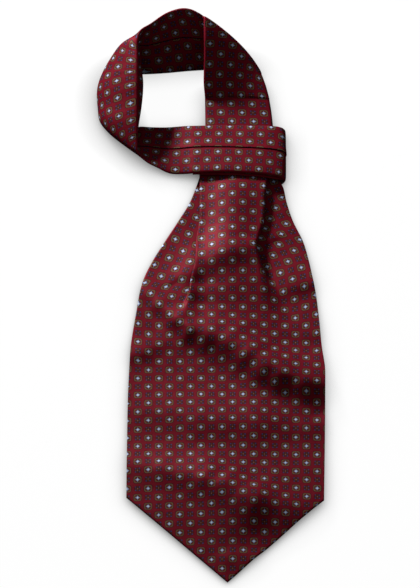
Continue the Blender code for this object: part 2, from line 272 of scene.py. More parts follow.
LOOP = (
    Ruling((-18.6, 518.4, 37.6), (9.6, 504.4, 17.8), (27.0, 486.2, 1.9)),
    Ruling((-22.5, 521.0, 39.8), (-6.0, 508.0, 20.5), (8.0, 490.5, 1.0)),
    Ruling((-27.5, 522.9, 41.2), (-20.0, 508.5, 22.0), (-11.0, 493.2, 0.6)),
    Ruling((-33.7, 523.4, 42.0), (-32.0, 509.0, 23.0), (-28.0, 492.3, 0.45)),
    Ruling((-46.2, 519.2, 42.0), (-46.0, 506.0, 23.0), (-46.0, 490.3, 0.4)),
    Ruling((-59.5, 509.0, 41.0), (-60.5, 501.5, 23.5), (-60.0, 489.2, 0.35)),
    Ruling((-66.8, 503.0, 40.3), (-70.0, 499.6, 25.0), (-69.0, 489.0, 0.35)),
    Ruling((-69.4, 492.5, 39.1), (-82.0, 497.5, 26.5), (-80.0, 489.0, 0.35)),
    Ruling((-69.5, 483.6, 38.0), (-89.6, 488.8, 22.5), (-91.0, 483.6, 0.35)),
    Ruling((-69.5, 470.0, 36.0), (-95.2, 475.8, 18.0), (-97.0, 473.4, 0.35)),
    Ruling((-69.3, 458.0, 33.0), (-96.8, 463.0, 16.0), (-98.4, 462.0, 0.35)),
    Ruling((-69.3, 442.6, 28.0), (-95.4, 449.0, 14.0), (-98.4, 450.0, 0.35)),
    Ruling((-69.3, 427.0, 23.0), (-93.5, 434.5, 12.5), (-96.4, 440.0, 0.35)),
    Ruling((-69.3, 412.0, 17.0), (-87.4, 422.0, 9.0), (-88.0, 434.0, 0.4)),
    Ruling((-68.8, 404.0, 13.5), (-76.6, 414.4, 7.0), (-76.0, 433.4, 1.5)),
    Ruling((-62.0, 397.2, 9.0), (-66.0, 414.0, 5.5), (-67.7, 436.0, 3.0)),
    Ruling((-54.0, 393.0, 7.0), (-56.5, 413.0, 5.5), (-58.5, 435.0, 3.6)),
    Ruling((-43.8, 388.6, 5.2), (-44.5, 411.0, 6.2), (-46.0, 433.4, 5.6)),
    Ruling((-32.0, 387.0, 6.8), (-32.0, 410.0, 8.8), (-32.0, 432.2, 9.0)),
    Ruling((-21.0, 386.0, 9.8), (-20.5, 409.5, 11.0), (-20.0, 431.6, 10.4)),
    Ruling((4.0, 384.5, 13.0), (5.0, 408.5, 12.2), (5.0, 431.6, 10.6)),
    Ruling((26.6, 383.0, 12.6), (27.0, 407.5, 12.0), (28.0, 431.6, 10.3)),
    Ruling((38.0, 382.0, 11.2), (38.5, 407.0, 10.8), (39.0, 431.4, 9.8)),
    Ruling((44.2, 381.3, 9.2), (44.4, 406.5, 9.0), (44.2, 431.0, 8.4)),
    Ruling((46.3, 380.9, 5.8), (46.4, 406.0, 5.7), (46.2, 430.8, 5.4)),
    Ruling((44.9, 380.7, 2.5), (45.0, 406.0, 2.5), (44.8, 430.8, 2.4)),
    Ruling((42.2, 380.6, 0.95), (42.2, 406.0, 0.95), (42.2, 430.8, 0.95)),
)

# How finely the band is divided: along a ruling, round the sharp fold and across a face
STEPS_PER_RULING = 8
FOLD_STEPS = 8
BAND_FACE_STEPS = 26

# The band's folded width, where its strip is cut from the cloth, and the rulings over which the print
# comes to run square to the band's middle line
BAND_WIDTH = 51.0
BAND_CLOTH_FROM = 196.0
SQUARE_FROM_RULING, SQUARE_OVER_RULINGS = 3.0, 2.0

# The seam along the inner face, as places across the band from 0 to 1: the columns close to it, its
# groove with the depth, and its lip
SEAM_COLUMNS = (0.484, 0.494, 0.498, 0.506, 0.518)
GROOVE_AT, GROOVE_REACH, GROOVE_DEPTH = 0.501, 0.004, 0.7
LIP_FROM, LIP_FADES_FROM, LIP_FADES_OVER = 0.503, 0.506, 0.2

# How far the band's inner layer swells into the neck hole, at rulings along the loop
Swell = namedtuple("Swell", "ruling depth")
INNER_SWELL = (
    Swell(5.4, 0.0),
    Swell(6.6, 2.6),
    Swell(8.0, 4.4),
    Swell(10.0, 6.2),
    Swell(11.4, 5.2),
    Swell(12.6, 3.2),
    Swell(14.0, 0.0),
)
# Places across the band: how far down the swollen layer hangs straight, over what it comes back, and
# where its bulge ends
HANGS_TO, HANG_FADES_OVER, BULGE_TO = 0.12, 0.55, 0.66

# A second layer whose edge shows under the wrap's outer edge, between two rulings of the loop: how far it
# reaches out past that edge and in from it, how far under the band's middle it lies and how thick it is,
# the share of its reach where its edge starts to round, and the rulings over which it slips out
UNDER_FOLD = (18.6, 23.4)
UNDER_FOLD_OUT, UNDER_FOLD_IN = 1.7, 9.0
UNDER_FOLD_DOWN, UNDER_FOLD_THICK = 1.35, 0.5
UNDER_FOLD_ROUNDS_AT = 0.8
UNDER_FOLD_SLIPS_OUT_OVER = 1.2


def column(table, name):
    """One column of a table."""
    return np.array([getattr(row, name) for row in table])


def smooth(places, values, at):
    """A smooth line through the values with no overshoot, read at some places and level past both ends."""
    places, values = np.asarray(places, float), np.asarray(values, float)
    slopes = np.gradient(values, places)
    secants = np.diff(values) / np.diff(places)
    slopes[1:-1][secants[1:] * secants[:-1] <= 0] = 0.0
    at = np.clip(at, places[0], places[-1])
    low = np.clip(np.searchsorted(places, at, side="right") - 1, 0, len(places) - 2)
    span = places[low + 1] - places[low]
    t = (at - places[low]) / span
    return (
        values[low] * (1 + 2 * t) * (1 - t) ** 2
        + values[low + 1] * t**2 * (3 - 2 * t)
        + span * (slopes[low] * t * (1 - t) ** 2 - slopes[low + 1] * t**2 * (1 - t))
    )


def read(table, name, y):
    """One value of a table, read at a level of the blade."""
    return float(smooth(column(table, "y"), column(table, name), y))


def ease(t):
    """From 0 to 1 with level ends."""
    t = np.clip(t, 0.0, 1.0)
    return t * t * (3 - 2 * t)


def path_lengths(points):
    """How far along a line of points each one is."""
    steps = np.linalg.norm(np.diff(points, axis=0), axis=-1)
    return np.concatenate([np.zeros((1,) + steps.shape[1:]), np.cumsum(steps, axis=0)])


# The blades


def row_slant(y):
    """How steeply a row climbs to both sides of the tip's line: from 1 at the tip to 0 in a square row."""
    return 1 - ease(y / SQUARE_ROWS_FROM)


def fold_height(x, y):
    """The height of the soft folds at some places on the blade."""
    height = np.zeros_like(x)
    for crest in FOLDS:
        rises, distances = [], []
        for start, end in zip(crest, crest[1:]):
            run_x, run_y = end.x - start.x, end.y - start.y
            length = math.hypot(run_x, run_y)
            t = np.clip(((x - start.x) * run_x + (y - start.y) * run_y) / length**2, 0.0, 1.0)
            off_x, off_y = x - start.x - t * run_x, y - start.y - t * run_y
            distance = np.hypot(off_x, off_y)
            side = ease((run_x * off_y - run_y * off_x) / length / CREST_ROUNDING + 0.5)
            tall, above, below = (
                getattr(start, name) + (getattr(end, name) - getattr(start, name)) * t
                for name in ("height", "above", "below")
            )
            reach = below + (above - below) * side
            rises.append(tall * np.exp(-((distance / reach) ** 2)))
            distances.append(distance)
        weights = np.exp((np.min(distances, axis=0) - np.array(distances)) / CREST_BLEND)
        height = height + (np.array(rises) * weights).sum(axis=0) / weights.sum(axis=0)
    return height * (1 - ease((y - FLAT_FROM) / (FLAT_BY - FLAT_FROM)))


def pleat_line(table, y):
    """A pleat in section, from the wing that lies under it to the panel on top: steps in X and Z from the
    wing's end, which heads towards the panel, the fold's place and the radius of its upper bend."""
    fold, depth, turn, lower, upper = (read(table, name, y) for name in Pleat._fields[1:])
    turn = math.radians(min(turn, 180.0))
    stretches = (
        (lower, BEND_STEPS, 0.0, turn),
        (depth, LAYER_STEPS, turn, turn),
        (upper, BEND_STEPS, turn, 0.0),
    )
    line = [(0.0, 0.0)]
    for length, steps, start, end in stretches:
        for step in range(steps):
            heading = start + (end - start) * (step + 0.5) / steps
            x, z = line[-1]
            line.append((x + length / steps * math.cos(heading), z + length / steps * math.sin(heading)))
    return np.array(line), fold, upper / math.pi


def blade_row(y):
    """The points across the front blade at one level, from its left edge to its right edge, and how far
    across the cloth each one is from the line of the tip."""
    left_line, left_fold, left_round = pleat_line(LEFT_PLEAT, y)
    right_line, right_fold, right_round = pleat_line(RIGHT_PLEAT, y)
    left_line[:, 0] += left_fold + left_round - left_line[-1, 0]
    right_line[:, 0] = right_fold - right_round - (right_line[:, 0] - right_line[-1, 0])
    right_line = right_line[::-1]

    slant = row_slant(y)
    edge_level = y + slant * EDGES[0].right
    rise_left, rise_right = read(EDGE_RISE, "left", y), read(EDGE_RISE, "right", y)
    left = read(EDGES, "left", edge_level + rise_left)
    right = read(EDGES, "right", edge_level + rise_right)

    t = np.linspace(0, 1, WING_STEPS + 1)[:-1]
    left_wing = np.stack([left + (left_line[0, 0] - left) * t, 0 * t], axis=1)
    right_wing = np.stack([right + (right_line[-1, 0] - right) * t, 0 * t], axis=1)[::-1]
    t = np.linspace(0, 1, PANEL_STEPS + 1)[1:-1]
    start, end = left_line[-1], right_line[0]
    panel_x = start[0] + (end[0] - start[0]) * t
    puff = read(PANEL_PUFF, "height", y) * np.sin(math.pi * t) ** 2
    panel_z = start[1] + (end[1] - start[1]) * ease(t) + puff
    panel = np.stack([panel_x, panel_z], axis=1)
    section = np.concatenate([left_wing, left_line, panel, right_line, right_wing])

    x, z = section[:, 0], section[:, 1]
    inner_left, inner_right = left_line[0, 0], right_line[-1, 0]
    rise = np.zeros(len(section))
    rise[:WING_STEPS] = rise_left * (inner_left - x[:WING_STEPS]) / (inner_left - left)
    rise[-WING_STEPS:] = rise_right * (x[-WING_STEPS:] - inner_right) / (right - inner_right)
    along = y + slant * np.abs(x - TIP_X) + rise
    across = path_lengths(section)
    panel_from = WING_STEPS + len(left_line)
    middle = np.interp(TIP_X, panel_x, across[panel_from : panel_from + len(panel_x)])
    lift = read(NECK_LIFT, "height", y) * ease((x - LIFT_FROM_X) / (LIFT_BY_X - LIFT_FROM_X))
    return np.stack([x, along, FRONT_LEVEL + z + lift + fold_height(x, along)], axis=1), across - middle


def front_blade_grid():
    """The front blade's points, and the place of each one on the flat cloth."""
    levels = [0.0]
    for zone in BLADE_ROWS:
        levels.extend(np.linspace(zone.start, zone.end, zone.rows + 1)[1:])
    rows, across = zip(*(blade_row(y) for y in levels))
    points, across = np.array(rows), np.array(across)
    levels = np.array(levels)[:, None]
    along = levels + row_slant(levels) * np.abs(points[:, :, 0] - TIP_X)
    return points, np.stack([across, along], axis=2)


def back_blade_grid():
    """The back blade's points: the front blade's outline drawn in, and narrowed to its own neck."""
    rows = []
    for y in np.linspace(0.0, BACK_TOP, BACK_ROWS):
        slant = row_slant(y)
        edge_level = y + slant * EDGES[0].right
        left = read(EDGES, "left", edge_level) + BACK_INSET
        right = read(EDGES, "right", edge_level) - BACK_INSET
        neck = ease((y - BACK_NECK_FROM) / BACK_NECK_OVER)
        left += (BACK_NECK_LEFT - left) * neck
        right += (BACK_NECK_RIGHT - right) * neck
        x = left + (right - left) * np.linspace(0, 1, BACK_STEPS_ACROSS + 1)
        tip_up = BACK_INSET * math.sqrt(2) * slant
        along = y + tip_up + slant * np.abs(x - TIP_X)
        rows.append(np.stack([x, along, 0 * x], axis=1))
    return np.array(rows)


# The neck band


def ruling_points(rulings, at):
    """The upper, middle and lower lines of a table of rulings, read at some places along it."""
    numbers = np.arange(len(rulings))
    lines = []
    for part in range(3):
        points = np.array([ruling[part] for ruling in rulings], float)
        lines.append(np.stack([smooth(numbers, points[:, axis], at) for axis in range(3)], axis=1))
    return np.array(lines)


def band_lines():
    """The band's three lines from the front blade's neck, round the sharp fold and the loop, to the knot."""
    first = len(RIGHT_STRETCH) - 1
    right = ruling_points(RIGHT_STRETCH, np.linspace(0, first, first * STEPS_PER_RULING + 1))
    last = len(LOOP) - 1
    loop = ruling_points(LOOP, np.linspace(0, last, last * STEPS_PER_RULING + 1))
    crest, under = right[:, -1], loop[:, 0]
    heading = crest - right[:, -3]
    heading /= np.linalg.norm(heading, axis=1, keepdims=True)
    radius = np.linalg.norm(under - crest, axis=1, keepdims=True) / 2
    middle = (crest + under) / 2 - heading * radius
    turn = np.linspace(0, math.pi, FOLD_STEPS + 1)
    fold = np.stack(
        [middle - (under - crest) / 2 * math.cos(a) + heading * radius * math.sin(a) for a in turn], axis=1
    )
    return np.concatenate([right[:, :-2], fold, loop[:, 1:]], axis=1)


def band_columns():
    """Places across the band, closer together at its two edges and at the seam in the middle."""
    t = np.linspace(0, 1, BAND_FACE_STEPS + 1)
    crowded = 0.5 * (1 - np.cos(math.pi * t))
    return np.sort(np.concatenate([(crowded + t) / 2, SEAM_COLUMNS]))


def band_grid():
    """The points of the band's middle sheet, their outward directions, their places across it and along
    the flat cloth, and the number of the ruling that each row is at."""
    upper, middle, lower = (line[:, None] for line in band_lines())
    across = band_columns()
    place = across[None, :, None]
    points = (
        upper * (1 - place) * (1 - 2 * place)
        + middle * 4 * place * (1 - place)
        + lower * place * (2 * place - 1)
    )
    along_step, across_step = np.gradient(points, axis=0), np.gradient(points, axis=1)
    normals = np.cross(across_step, along_step)
    normals /= np.linalg.norm(normals, axis=2, keepdims=True)

    rows = len(points)
    ruling = (np.arange(rows) - (rows - 1)) / STEPS_PER_RULING + len(LOOP) - 1
    core = points[:, len(across) // 2]
    heading = np.gradient(core, axis=0)
    heading /= np.linalg.norm(heading, axis=1, keepdims=True)
    square = path_lengths(core)[:, None] + ((points - core[:, None]) * heading[:, None]).sum(axis=2)
    share = ease((ruling - SQUARE_FROM_RULING) / SQUARE_OVER_RULINGS)[:, None]
    along = path_lengths(points) * (1 - share) + square * share
    return points, normals, across, along, ruling


def swollen(layer, points, across, ruling):
    """The band's inner layer, hanging from its upper edge and swelling into the neck hole."""
    table = np.array(INNER_SWELL)
    depth = smooth(table[:, 0], table[:, 1], ruling)[:, None]
    share = np.clip(depth / table[:, 1].max(), 0, 1) ** 0.5
    hang = 1 - ease((across - HANGS_TO) / HANG_FADES_OVER)[None, :]
    bulge = np.sin(math.pi * np.clip(across / BULGE_TO, 0, 1))[None, :]
    layer = layer.copy()
    layer[:, :, 0] += share * hang * (points[:, :1, 0] - layer[:, :, 0]) * (across > 0) + depth * bulge
    return layer


def seam_profile(across):
    """The band's inner face round its lengthwise seam: the groove's height, and the share of the lip's."""
    groove = np.where(np.abs(across - GROOVE_AT) < GROOVE_REACH, -GROOVE_DEPTH, 0.0)
    lip = np.where(across > LIP_FROM, 1 - ease((across - LIP_FADES_FROM) / LIP_FADES_OVER), 0.0)
    return groove, lip


# Meshes


def mesh_piece(name, points, faces, cloth, nodes, material, trim=None, painted_shade_faces=()):
    """A piece of cloth from its points in millimetres, with its place on the flat cloth as its UV map."""
    mesh = bpy.data.meshes.new(name)
    places = np.asarray(points) * MM + np.array(ORIGIN)
    mesh.from_pydata(places.tolist(), [], faces)
    layer = mesh.uv_layers.new(name="Cloth")
    for loop in mesh.loops:
        layer.data[loop.index].uv = cloth[loop.vertex_index]
    mesh.shade_smooth()
    piece = bpy.data.objects.new(name, mesh)
    bpy.context.scene.collection.objects.link(piece)
    mesh.materials.append(material)
    # A second material, here the seam's painted shade, goes on the listed faces.
    if trim:
        mesh.materials.append(trim)
    for number in painted_shade_faces:
        mesh.polygons[number].material_index = 1
    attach(piece, "root")
    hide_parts(*nodes)
    return piece


def grid_faces(rows, columns):
    """The faces between the points of a grid, given row by row."""
    corners = (row * columns + place for row in range(rows - 1) for place in range(columns - 1))
    return [(corner, corner + 1, corner + columns + 1, corner + columns) for corner in corners]


def apply_modifiers(piece):
    """Makes a piece's modifiers part of its mesh, in order."""
    bpy.ops.object.select_all(action="DESELECT")
    piece.select_set(True)
    bpy.context.view_layer.objects.active = piece
    for modifier in list(piece.modifiers):
        bpy.ops.object.modifier_apply(modifier=modifier.name)


# Silk

BLACK, WHITE = (0.0, 0.0, 0.0, 1.0), (1.0, 1.0, 1.0, 1.0)

# The print's two motifs, each form painted over the last, in millimetres from the motif's middle
Form = namedtuple("Form", "colour shape radius softness")
MEDALLION = (
    Form("outline", "square", 3.4, 0.3),
    Form("ring", "square", 3.0, 0.3),
    Form("heart", "square", 2.3, 0.3),
    Form("ember", "corners", 0.45, 0.5),
    Form("petal", "star", 2.25, 0.6),
    Form("core", "round", 0.6, 0.7),
)
SMALL_MOTIF = (
    Form("shade", "cushion", 2.5, 0.9),
    Form("leaf", "leaves", 0.5, 0.4),
    Form("dot", "dots", 0.5, 0.4),
    Form("bead", "round", 0.35, 0.4),
)
SQUARE_POWER, CUSHION_POWER, STAR_POWER = 4.0, 3.0, 0.62
EMBER_OUT_X, EMBER_OUT_Y, LEAF_OUT, DOT_OUT = 1.45, 1.4, 1.35, 1.5

# Slubs in the yarn, the diagonal weave, and the ripple of the whole cloth: scales per millimetre of cloth,
# heights in metres
SLUB_SCALE, SLUB_DETAIL = 0.9, 3.0
TWILL_SCALE, TWILL_DISTORTION, TWILL_STRENGTH, TWILL_HEIGHT = 0.9, 0.6, 0.25, 0.00005
RIPPLE_SCALE, RIPPLE_DETAIL, RIPPLE_STRENGTH, RIPPLE_HEIGHT = 0.06, 4.0, 0.5, 0.0012

# How the silk and the painted seam shade shine, with the tints as eight-bit sRGB
SPECULAR, SPECULAR_TINT = 0.12, (255, 140, 145)
SHEEN_ROUGHNESS, SHEEN_TINT = 0.4, (255, 150, 160)
SEAM_SHADE_NOISE_SCALE, SEAM_ROUGHNESS, SEAM_SPECULAR = 1.5, 0.8, 0.1


def linear(red, green, blue):
    """A colour given as eight-bit sRGB, as the linear values that a shader takes."""
    return tuple(
        value / 255 / 12.92 if value <= 10 else ((value / 255 + 0.055) / 1.055) ** 2.4
        for value in (red, green, blue)
    ) + (1.0,)


class Wiring:
    """Short calls that add shader nodes and join them."""

    def __init__(self, tree):
        self.tree = tree

    def add(self, kind, **settings):
        node = self.tree.nodes.new(kind)
        for name, value in settings.items():
            setattr(node, name, value)
        return node

    def feed(self, socket, value):
        if isinstance(value, bpy.types.NodeSocket):
            self.tree.links.new(value, socket)
        else:
            socket.default_value = value

    def fill(self, node, inputs):
        for name, value in inputs.items():
            self.feed(node.inputs[name], value)

    def math(self, operation, *values):
        node = self.add("ShaderNodeMath", operation=operation)
        for socket, value in zip(node.inputs, values):
            self.feed(socket, value)
        return node.outputs[0]

    def inside(self, distance, radius, softness):
        """1 where the distance is under the radius, with a soft edge."""
        node = self.add("ShaderNodeMapRange", interpolation_type="SMOOTHSTEP")
        self.fill(node, {
            "Value": distance,
            "From Min": radius - softness / 2,
            "From Max": radius + softness / 2,
            "To Min": 1.0,
            "To Max": 0.0,
        })
        return node.outputs["Result"]

    def mix(self, factor, low, high):
        node = self.add("ShaderNodeMix", data_type="RGBA")
        self.feed(node.inputs[0], factor)
        self.feed(node.inputs[6], low)
        self.feed(node.inputs[7], high)
        return node.outputs[2]

    def length(self, x, y, power=2.0):
        """How far a place is from the middle, round for a power of 2 and squarer above it."""
        total = self.math(
            "ADD",
            self.math("POWER", self.math("ABSOLUTE", x), power),
            self.math("POWER", self.math("ABSOLUTE", y), power),
        )
        return self.math("POWER", total, 1 / power)

    def cloth(self):
        """The place on the flat cloth, in millimetres."""
        return self.add("ShaderNodeUVMap", uv_map="Cloth").outputs[0]

    def noise(self, place, scale, detail=2.0):
        node = self.add("ShaderNodeTexNoise", noise_dimensions="2D")
        self.fill(node, {"Vector": place, "Scale": scale, "Detail": detail})
        return node.outputs["Fac"]

    def bump(self, height, strength, distance):
        node = self.add("ShaderNodeBump")
        self.fill(node, {"Height": height, "Strength": strength, "Distance": distance})
        return node


def motif_shapes(wiring, x, y):
    """How far a place on the cloth is from the middle of each form in a motif."""
    far_x, far_y = wiring.math("ABSOLUTE", x), wiring.math("ABSOLUTE", y)

    def off(far, place):
        return wiring.math("SUBTRACT", far, place)

    side_leaves = wiring.length(off(far_x, LEAF_OUT), y)
    end_leaves = wiring.length(x, off(far_y, LEAF_OUT))
    return {
        "round": wiring.length(x, y),
        "square": wiring.length(x, y, SQUARE_POWER),
        "cushion": wiring.length(x, y, CUSHION_POWER),
        "star": wiring.length(x, y, STAR_POWER),
        "corners": wiring.length(off(far_x, EMBER_OUT_X), off(far_y, EMBER_OUT_Y)),
        "dots": wiring.length(off(far_x, DOT_OUT), off(far_y, DOT_OUT)),
        "leaves": wiring.math("MINIMUM", side_leaves, end_leaves),
    }


def printed_ground(wiring, cloth, spacing, colours):
    """The foulard print: square medallions and small four-dot motifs in turn, on a burgundy ground."""
    parts = wiring.add("ShaderNodeSeparateXYZ")
    wiring.feed(parts.inputs[0], cloth)
    cells = [wiring.math("MULTIPLY", parts.outputs[axis], 1 / spacing) for axis in range(2)]
    turn = wiring.math("ADD", wiring.math("FLOOR", cells[0]), wiring.math("FLOOR", cells[1]))
    is_small = wiring.math("GREATER_THAN", wiring.math("FLOORED_MODULO", turn, 2.0), 0.5)
    is_medallion = wiring.math("SUBTRACT", 1.0, is_small)
    x, y = (
        wiring.math("MULTIPLY", wiring.math("SUBTRACT", wiring.math("FRACT", place), 0.5), spacing)
        for place in cells
    )
    shapes = motif_shapes(wiring, x, y)
    slub = wiring.noise(cloth, SLUB_SCALE, SLUB_DETAIL)
    colour = wiring.mix(slub, tuple(colours.ground_dark), tuple(colours.ground_bright))
    for motif, where in ((MEDALLION, is_medallion), (SMALL_MOTIF, is_small)):
        for form in motif:
            painted = wiring.inside(shapes[form.shape], form.radius, form.softness)
            painted = wiring.math("MULTIPLY", painted, where)
            colour = wiring.mix(painted, colour, tuple(getattr(colours, form.colour)))
    return colour


def new_material(name):
    """A new material, with its wiring and its shader."""
    material = bpy.data.materials.new(name)
    material.use_nodes = True
    return material, Wiring(material.node_tree), material.node_tree.nodes["Principled BSDF"]


def silk_material(name, settings):
    """Printed twill silk: the print, its fine diagonal weave, its slight ripple and its soft sheen."""
    material, wiring, shader = new_material(name)
    colours = settings.colours
    cloth = wiring.cloth()
    twill = wiring.add("ShaderNodeTexWave", wave_type="BANDS", bands_direction="DIAGONAL")
    wiring.fill(twill, {"Vector": cloth, "Scale": TWILL_SCALE, "Distortion": TWILL_DISTORTION})
    weave = wiring.bump(twill.outputs["Fac"], TWILL_STRENGTH, TWILL_HEIGHT)
    ripple = wiring.bump(wiring.noise(cloth, RIPPLE_SCALE, RIPPLE_DETAIL), RIPPLE_STRENGTH, RIPPLE_HEIGHT)
    wiring.feed(ripple.inputs["Normal"], weave.outputs["Normal"])
    wiring.fill(shader, {
        "Base Color": printed_ground(wiring, cloth, settings.sizes.motif_spacing / MM, colours),
        "Roughness": colours.roughness,
        "Metallic": colours.lustre,
        "Specular IOR Level": SPECULAR,
        "Specular Tint": linear(*SPECULAR_TINT),
        "Sheen Weight": colours.sheen,
        "Sheen Roughness": SHEEN_ROUGHNESS,
        "Sheen Tint": linear(*SHEEN_TINT),
        "Normal": ripple.outputs["Normal"],
    })
    return material


def seam_shade_material(settings):
    """Painted shade in the seam's fold: a dark colour, mottled with noise, that stands in for the shadow
    there.
    """
    material, wiring, shader = new_material("seam_fold")
    # The yarn noise here only mottles the painted shade of the seam.
    yarn = wiring.noise(wiring.cloth(), SEAM_SHADE_NOISE_SCALE)
    wiring.fill(shader, {
        "Base Color": wiring.mix(yarn, tuple(settings.colours.seam), BLACK),
        "Roughness": SEAM_ROUGHNESS,
        "Specular IOR Level": SEAM_SPECULAR,
    })
    return material


def silk(settings):
    """The one cloth that every piece is cut from."""
    return bpy.data.materials.get("foulard_silk") or silk_material("foulard_silk", settings)


# Settings


def colour_property(name, description, red, green, blue):
    colour = linear(red, green, blue)
    return bpy.props.FloatVectorProperty(
        name=name, description=description, subtype="COLOR", size=4, min=0, max=1, default=colour
    )


def length_property(name, description, millimetres):
    return bpy.props.FloatProperty(
        name=name, description=description, default=millimetres * MM, min=0, subtype="DISTANCE", unit="LENGTH"
    )


def share_property(name, description, share):
    return bpy.props.FloatProperty(name=name, description=description, default=share, min=0, max=1)


def strength_property(name, description, strength):
    return bpy.props.FloatProperty(name=name, description=description, default=strength, min=0)


class CravatSizes(bpy.types.PropertyGroup):
    """The cloth's thicknesses and the size of its print"""

    blade_cloth: length_property("Blade cloth", "Thickness of the blade's doubled silk", 0.9)
    band_thickness: length_property("Band thickness", "Thickness of the folded band between its edges", 2.0)
    band_cloth: length_property("Band cloth", "Thickness of the band's own silk", 0.35)
    seam_lip: length_property("Seam lip", "Height of the band's lengthwise seam above its inner face", 0.5)
    back_thickness: length_property("Back blade", "Thickness of the hidden blade", 1.7)
    motif_spacing: length_property("Motif spacing", "From one printed motif to the next", 8.2)


class CravatColours(bpy.types.PropertyGroup):
    """The colours of the print and how the silk shines"""

    ground_dark: colour_property("Ground, dark", "Burgundy of the silk where its yarn is darker", 118, 17, 33)
    ground_bright: colour_property("Ground, bright", "Burgundy where the yarn is brighter", 143, 22, 43)
    outline: colour_property("Outline", "Thin line round each medallion", 42, 26, 32)
    ring: colour_property("Ring", "Bronze ring of each medallion", 128, 100, 70)
    heart: colour_property("Heart", "Maroon field inside the ring", 78, 24, 26)
    ember: colour_property("Ember", "Blobs in the corners of the maroon field", 146, 76, 48)
    petal: colour_property("Petal", "Four pale petals of each medallion", 162, 186, 228)
    core: colour_property("Core", "Middle of the four petals", 240, 246, 255)
    shade: colour_property("Shade", "Dark patch behind the four dots", 76, 28, 32)
    leaf: colour_property("Leaf", "Brown dabs between the four dots", 100, 62, 40)
    dot: colour_property("Dot", "Four blue dots of the small motif", 62, 78, 138)
    bead: colour_property("Bead", "Middle of the small motif", 176, 132, 112)
    # Painted shade: the colour of the seam's riser faces, standing in for the shadow in the seam.
    seam: colour_property("Seam", "Shaded fold of the band's seam", 30, 4, 8)
    roughness: share_property("Roughness", "How matt the silk is", 0.55)
    lustre: share_property("Lustre", "How much the silk mirrors light in its own colour", 0.15)
    sheen: share_property("Sheen", "How much the silk's nap shines", 0.015)


class CravatStage(bpy.types.PropertyGroup):
    """The view and the light"""

    camera_height: bpy.props.FloatProperty(
        name="Camera height",
        description="Angle of the view above the table",
        default=math.radians(54.5),
        subtype="ANGLE",
    )
    table_glow: strength_property("Table", "How white the lit table is", 0.97)
    window_power: strength_property("Window", "Power of the low light from the back left", 28.0)
    sky_power: strength_property("Surroundings", "Strength of the soft light all round", 0.1)


class CravatSettings(bpy.types.PropertyGroup):
    """All that a user would change"""

    sizes: bpy.props.PointerProperty(type=CravatSizes)
    colours: bpy.props.PointerProperty(type=CravatColours)
    stage: bpy.props.PointerProperty(type=CravatStage)


# Operators


class CRAVAT_OT_front_blade(bpy.types.Operator):
    """Adds the wide front blade with its box pleat"""

    bl_idname = "cravat.front_blade"
    bl_label = "Front blade"

    def execute(self, context):
        settings = context.scene.cravat
        points, cloth = front_blade_grid()
        faces = grid_faces(*points.shape[:2])
        points, cloth = points.reshape(-1, 3), cloth.reshape(-1, 2)
        piece = mesh_piece("front_blade", points, faces, cloth, ["blade_front"], silk(settings))
        wall = piece.modifiers.new("Silk", "SOLIDIFY")
        wall.thickness = settings.sizes.blade_cloth
        wall.offset = 0.0
        wall.use_even_offset = True
        apply_modifiers(piece)
        return {"FINISHED"}


class CRAVAT_OT_back_blade(bpy.types.Operator):
    """Adds the second blade that lies hidden under the first"""

    bl_idname = "cravat.back_blade"
    bl_label = "Back blade"

    RIM_SHARE = 0.45
    RIM_SEGMENTS = 3
    RIM_ANGLE = math.radians(60)

    def execute(self, context):
        settings = context.scene.cravat
        points = back_blade_grid()
        faces = grid_faces(*points.shape[:2])
        points = points.reshape(-1, 3)
        piece = mesh_piece("back_blade", points, faces, points[:, :2], ["blade_back"], silk(settings))
        wall = piece.modifiers.new("Silk", "SOLIDIFY")
        wall.thickness = settings.sizes.back_thickness
        wall.offset = 1.0
        rim = piece.modifiers.new("Rolled edge", "BEVEL")
        rim.width = settings.sizes.back_thickness * self.RIM_SHARE
        rim.segments = self.RIM_SEGMENTS
        rim.angle_limit = self.RIM_ANGLE
        apply_modifiers(piece)
        return {"FINISHED"}


